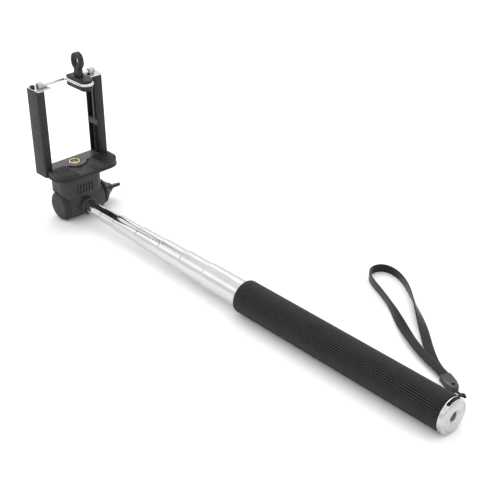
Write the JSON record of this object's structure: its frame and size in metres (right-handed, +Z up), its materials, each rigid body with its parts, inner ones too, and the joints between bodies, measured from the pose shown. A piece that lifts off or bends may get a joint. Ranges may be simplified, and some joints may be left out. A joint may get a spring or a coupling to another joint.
{
  "type": "selfie stick",
  "caption": "Telescoping selfie stick with a ribbed grip, a tilting spring-jaw phone holder and a webbing wrist strap.",
  "frame": {"origin": "on the table, straight under the hinge that tilts the phone holder", "axes": "+X along the hinge towards the wing knob, +Y along the stick away from the handle, +Z up out of the phone holder"},
  "size_m": [0.1449, 0.4005, 0.1414],
  "materials": {
    "black_plastic": "fine-textured matt moulding",
    "grey_plastic": "satin dark grey moulding",
    "pad_rubber": "soft matt",
    "grip_rubber": "finely ribbed matt",
    "chrome": "polished, drawn along the tube",
    "nickel": "turned satin nickel plate",
    "zinc_steel": "zinc plated",
    "black_steel": "black oxide",
    "brass": "turned",
    "glide_nylon": "natural nylon",
    "strap_nylon": "woven nylon"
  },
  "bodies": {
    "handle": {"end_cap": "nickel", "grip_sleeve": "grip_rubber", "tube_7": "chrome", "strap_string": "strap_nylon", "strap_crimp": "grey_plastic", "strap_webbing": "strap_nylon"},
    "stage_6": {"tube_6": "chrome", "glide_6": "glide_nylon"},
    "stage_5": {"tube_5": "chrome", "glide_5": "glide_nylon"},
    "stage_4": {"tube_4": "chrome", "glide_4": "glide_nylon"},
    "stage_3": {"tube_3": "chrome", "glide_3": "glide_nylon"},
    "stage_2": {"tube_2": "chrome", "glide_2": "glide_nylon"},
    "stage_1": {"tube_1": "chrome", "glide_1": "glide_nylon", "knuckle": "black_plastic", "hinge_nut": "zinc_steel", "knob_washer": "zinc_steel"},
    "knob": {"wing_knob": "black_plastic", "hinge_bolt": "zinc_steel"},
    "head": {"tilt_head": "black_plastic", "camera_stud": "zinc_steel"},
    "holder": {"base_tray": "black_plastic", "rest_strip": "grey_plastic", "base_pad": "pad_rubber", "thread_insert": "brass", "post_left": "black_plastic", "post_right": "black_plastic", "cap_plate_left": "chrome", "cap_plate_right": "chrome", "cap_screw_left": "black_steel", "cap_screw_right": "black_steel", "spring_left": "black_steel", "spring_right": "black_steel"},
    "jaw": {"wire_bow": "chrome", "jaw_lower_plate": "black_plastic", "jaw_upper_plate": "black_plastic", "jaw_pad": "pad_rubber", "pull_tab": "pad_rubber", "slide_leg_left": "black_plastic", "slide_leg_right": "black_plastic"}
  },
  "joints": [
    {"name": "tube_6_slide", "type": "slide", "parent": "handle", "child": "stage_6", "axis": [0, 1, 0], "range_m": [-0.02, 0.122]},
    {"name": "tube_5_slide", "type": "slide", "parent": "stage_6", "child": "stage_5", "axis": [0, 1, 0], "range_m": [-0.02, 0.123]},
    {"name": "tube_4_slide", "type": "slide", "parent": "stage_5", "child": "stage_4", "axis": [0, 1, 0], "range_m": [-0.022, 0.121]},
    {"name": "tube_3_slide", "type": "slide", "parent": "stage_4", "child": "stage_3", "axis": [0, 1, 0], "range_m": [-0.023, 0.12]},
    {"name": "tube_2_slide", "type": "slide", "parent": "stage_3", "child": "stage_2", "axis": [0, 1, 0], "range_m": [-0.012, 0.131]},
    {"name": "tube_1_slide", "type": "slide", "parent": "stage_2", "child": "stage_1", "axis": [0, 1, 0], "range_m": [-0.017, 0.121]},
    {"name": "head_tilt", "type": "hinge", "parent": "stage_1", "child": "head", "pos_m": [0, 0, 0.0125], "axis": [-1, 0, 0], "range_deg": [0, 90]},
    {"name": "wing_knob_turn", "type": "hinge", "parent": "stage_1", "child": "knob", "pos_m": [0, 0, 0.0125], "axis": [1, 0, 0], "range_deg": [0, 360]},
    {"name": "holder_swivel", "type": "hinge", "parent": "head", "child": "holder", "pos_m": [0, 0, 0.043], "axis": [0, 0, 1], "range_deg": [-180, 180]},
    {"name": "jaw_slide", "type": "slide", "parent": "holder", "child": "jaw", "axis": [0, 0, 1], "range_m": [0, 0.028], "stiffness_N_per_m": 150, "springref_m": -0.03, "deforming": ["spring_left", "spring_right"]}
  ]
}
